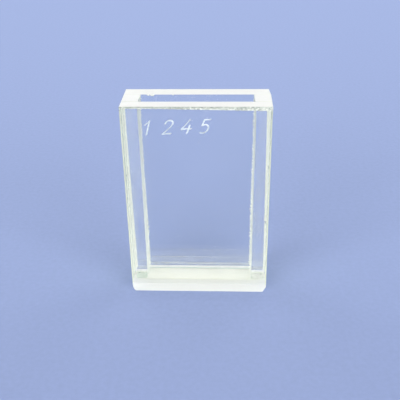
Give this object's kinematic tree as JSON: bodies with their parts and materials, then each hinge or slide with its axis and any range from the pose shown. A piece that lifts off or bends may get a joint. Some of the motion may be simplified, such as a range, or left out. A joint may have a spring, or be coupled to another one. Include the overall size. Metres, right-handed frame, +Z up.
{
  "type": "cuvette",
  "caption": "Open-topped rectangular optical glass cell: polished windows face to face across a narrow liquid gap, with ground side walls, rims and base.",
  "frame": {"origin": "middle of the underside", "axes": "+Z up to the open rim, light crosses along Y and the front window faces -Y, +X to the right seen from the front"},
  "size_m": [0.022, 0.008, 0.032],
  "materials": {
    "polished_glass": "optically polished, clear, on the two window faces; ground white where a window's own edge shows",
    "ground_glass": "finely ground, matt and white, with small chips along its edges"
  },
  "bodies": {
    "root": {"base_plate": "ground_glass", "front_window": "polished_glass", "rear_window": "polished_glass", "left_wall": "ground_glass", "right_wall": "ground_glass"}
  },
  "joints": []
}
